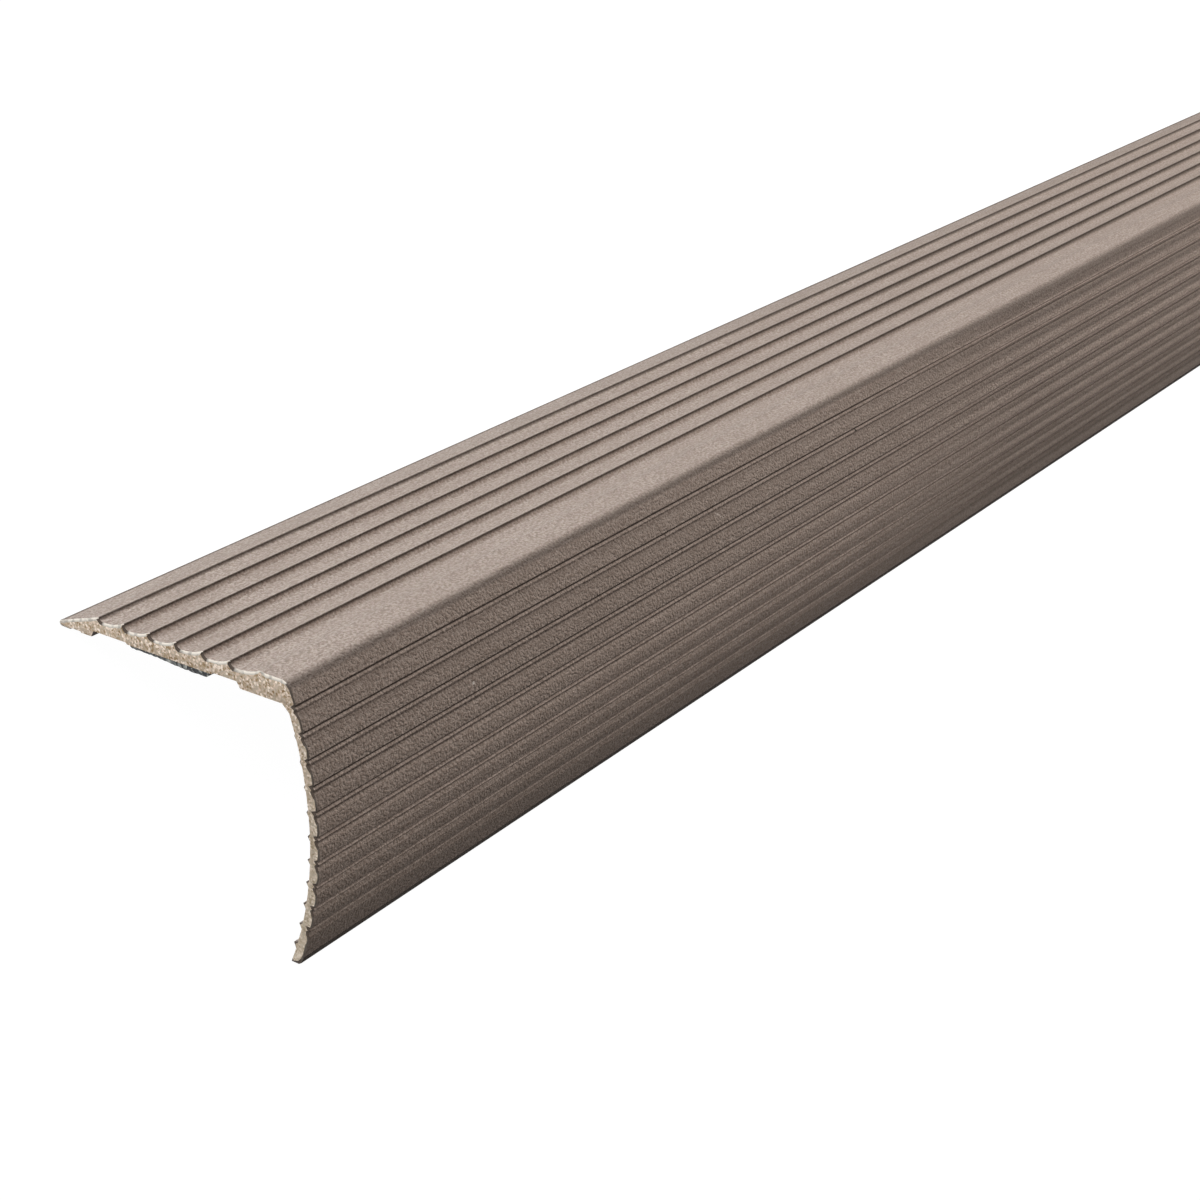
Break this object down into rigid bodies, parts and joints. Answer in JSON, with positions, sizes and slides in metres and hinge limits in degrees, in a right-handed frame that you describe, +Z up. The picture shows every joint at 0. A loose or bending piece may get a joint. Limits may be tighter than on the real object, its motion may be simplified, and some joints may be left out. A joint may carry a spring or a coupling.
{
  "type": "stair nosing",
  "caption": "Ribbed right-angle stair nosing profile with a rounded nose, a bowed grooved riser leg and a self-adhesive strip under its tread flange.",
  "frame": {"origin": "centre of the bounding box at floor level, with the profile resting as a tent on its two long edges", "axes": "+X along the length, away from the end that the picture shows; -Y towards the lower edge of the riser leg, +Y towards the thin rear edge of the tread flange; +Z up"},
  "size_m": [0.9, 0.0594, 0.0329],
  "materials": {
    "profile": "matt, bronze with a fine metallic grain, paler on the sawn ends",
    "strip": "dull black adhesive foam tape"
  },
  "bodies": {
    "root": {"nosing_profile": "profile", "adhesive_strip": "strip"}
  },
  "joints": []
}
